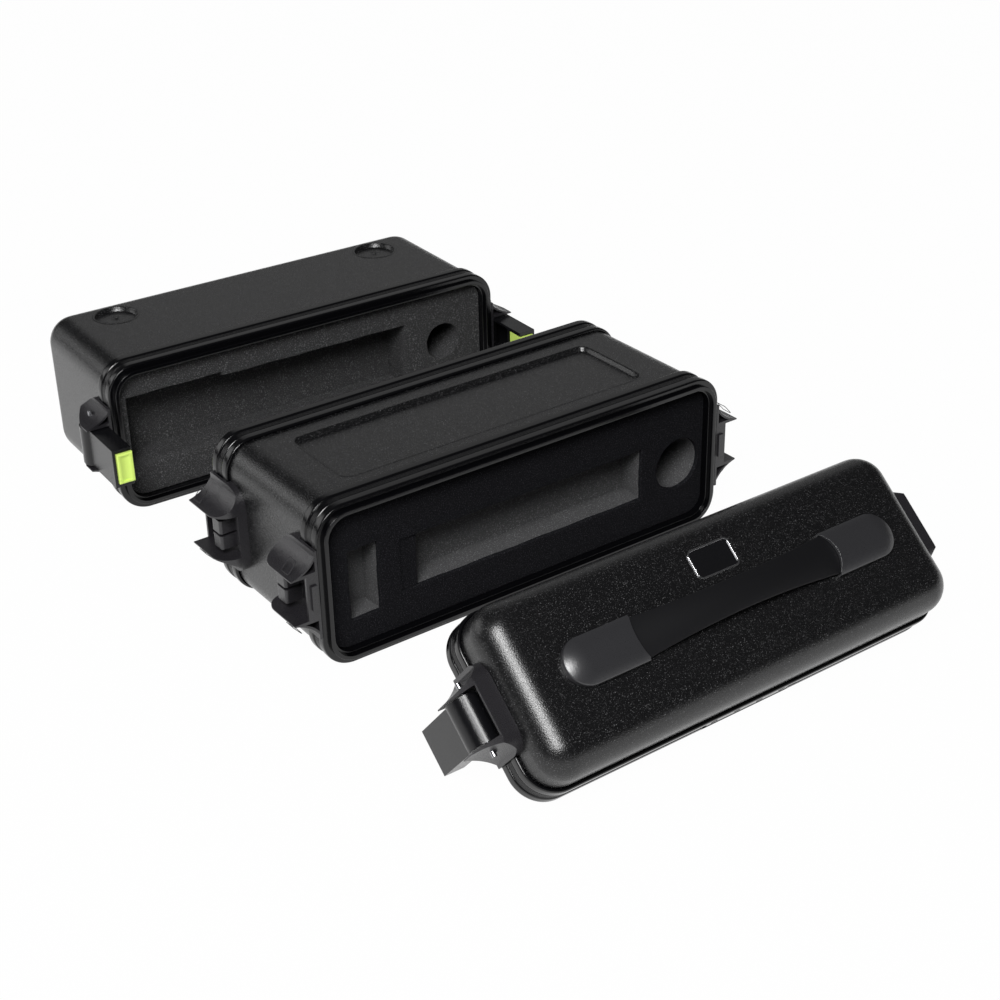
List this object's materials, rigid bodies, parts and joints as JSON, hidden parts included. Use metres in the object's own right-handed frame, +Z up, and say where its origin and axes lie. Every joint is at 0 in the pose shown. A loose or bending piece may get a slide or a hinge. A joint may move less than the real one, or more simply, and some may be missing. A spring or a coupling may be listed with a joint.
{
  "type": "wireless microphone system case",
  "caption": "Rounded black travel case taken apart: deep rear section, open-ended middle and shallow lid, with foam pockets, side latches and a strap handle.",
  "frame": {"origin": "on the floor, at the centre of the footprint of the three sections as they stand", "axes": "+Z up, +Y from the lid at the front to the rear section, +X to the right seen from the lid"},
  "size_m": [0.4075, 0.6346, 0.12],
  "materials": {
    "shell": "pebbled satin black polyethylene",
    "valance": "satin black extrusion",
    "gasket": "black closed-cell rubber",
    "foam": "charcoal cut foam",
    "facing": "black foam face",
    "latch": "fine textured charcoal nylon",
    "lever": "satin charcoal nylon",
    "trigger": "lime green, smooth",
    "steel": "plated steel",
    "rivet": "blackened steel",
    "rubber": "smooth matt black rubber",
    "cap": "smooth charcoal plastic",
    "badge_rim": "bright rim",
    "badge_plate": "bare gloss black plate"
  },
  "bodies": {
    "middle": {"keeper_front_left": "latch", "keeper_front_right": "latch", "keeper_rear_left": "latch", "keeper_rear_right": "latch", "middle_foam": "foam", "middle_foam_facing": "facing", "middle_front_valance": "valance", "middle_keeper_rivets": "rivet", "middle_rear_gasket": "gasket", "middle_rear_valance": "valance", "middle_shell": "shell", "middle_splice_front": "valance", "middle_splice_rear": "valance", "middle_splice_rivets": "rivet"},
    "rear_section": {"rear_foam": "foam", "rear_foot_left": "rubber", "rear_foot_right": "rubber", "rear_foot_screws": "rivet", "rear_latch_base_left": "latch", "rear_latch_base_right": "latch", "rear_latch_pins": "steel", "rear_latch_rivets": "rivet", "rear_shell": "shell", "rear_splice": "valance", "rear_splice_rivets": "rivet", "rear_valance": "valance"},
    "lid": {"badge_plate": "badge_plate", "badge_rim": "badge_rim", "lid_foam": "foam", "lid_gasket": "gasket", "lid_latch_base_left": "latch", "lid_latch_base_right": "latch", "lid_latch_pins": "steel", "lid_latch_rivets": "rivet", "lid_shell": "shell", "lid_splice": "valance", "lid_splice_rivets": "rivet", "lid_valance": "valance", "strap_cap_left": "cap", "strap_cap_right": "cap", "strap_tail_left": "rubber", "strap_tail_right": "rubber"},
    "strap_grip": {"strap_grip": "rubber"},
    "rear_lever_right": {"rear_lever_right": "lever"},
    "rear_trigger_right": {"rear_trigger_right": "trigger"},
    "rear_lever_left": {"rear_lever_left": "lever"},
    "rear_trigger_left": {"rear_trigger_left": "trigger"},
    "lid_lever_left": {"lid_lever_left": "lever"},
    "lid_trigger_left": {"lid_trigger_left": "trigger"},
    "lid_lever_right": {"lid_lever_right": "lever"},
    "lid_trigger_right": {"lid_trigger_right": "trigger"}
  },
  "joints": [
    {"name": "rear_slide", "type": "slide", "parent": "middle", "child": "rear_section", "axis": [0, -1, 0], "range_m": [-0.06, 0.08]},
    {"name": "lid_lift", "type": "slide", "parent": "middle", "child": "lid", "axis": [0, 0, 1], "range_m": [0, 0.1]},
    {"name": "handle_lift", "type": "slide", "parent": "lid", "child": "strap_grip", "axis": [0, -0.6473, 0.7623], "range_m": [0, 0.014]},
    {"name": "rear_latch_lever_right_swing", "type": "hinge", "parent": "rear_section", "child": "rear_lever_right", "pos_m": [0.16614, 0.18829, 0.06], "axis": [0, 0, 1], "range_deg": [0, 100]},
    {"name": "rear_trigger_right_press", "type": "slide", "parent": "rear_lever_right", "child": "rear_trigger_right", "axis": [0.0366, 0.9993, 0], "range_m": [0, 0.0025], "stiffness_N_per_m": 400, "springref_m": -0.002},
    {"name": "rear_latch_lever_left_swing", "type": "hinge", "parent": "rear_section", "child": "rear_lever_left", "pos_m": [-0.19262, 0.20145, 0.06], "axis": [0, 0, -1], "range_deg": [0, 100]},
    {"name": "rear_trigger_left_press", "type": "slide", "parent": "rear_lever_left", "child": "rear_trigger_left", "axis": [0.0366, 0.9993, 0], "range_m": [0, 0.0025], "stiffness_N_per_m": 400, "springref_m": -0.002},
    {"name": "lid_latch_lever_left_swing", "type": "hinge", "parent": "lid", "child": "lid_lever_left", "pos_m": [-0.1659, -0.25894, 0.05256], "axis": [0, 0.7623, 0.6473], "range_deg": [0, 100]},
    {"name": "lid_trigger_left_press", "type": "slide", "parent": "lid_lever_left", "child": "lid_trigger_left", "axis": [0, -0.6473, 0.7623], "range_m": [0, 0.0025], "stiffness_N_per_m": 400, "springref_m": -0.002},
    {"name": "lid_latch_lever_right_swing", "type": "hinge", "parent": "lid", "child": "lid_lever_right", "pos_m": [0.1931, -0.25894, 0.05256], "axis": [0, -0.7623, -0.6473], "range_deg": [0, 100]},
    {"name": "lid_trigger_right_press", "type": "slide", "parent": "lid_lever_right", "child": "lid_trigger_right", "axis": [0, -0.6473, 0.7623], "range_m": [0, 0.0025], "stiffness_N_per_m": 400, "springref_m": -0.002}
  ]
}
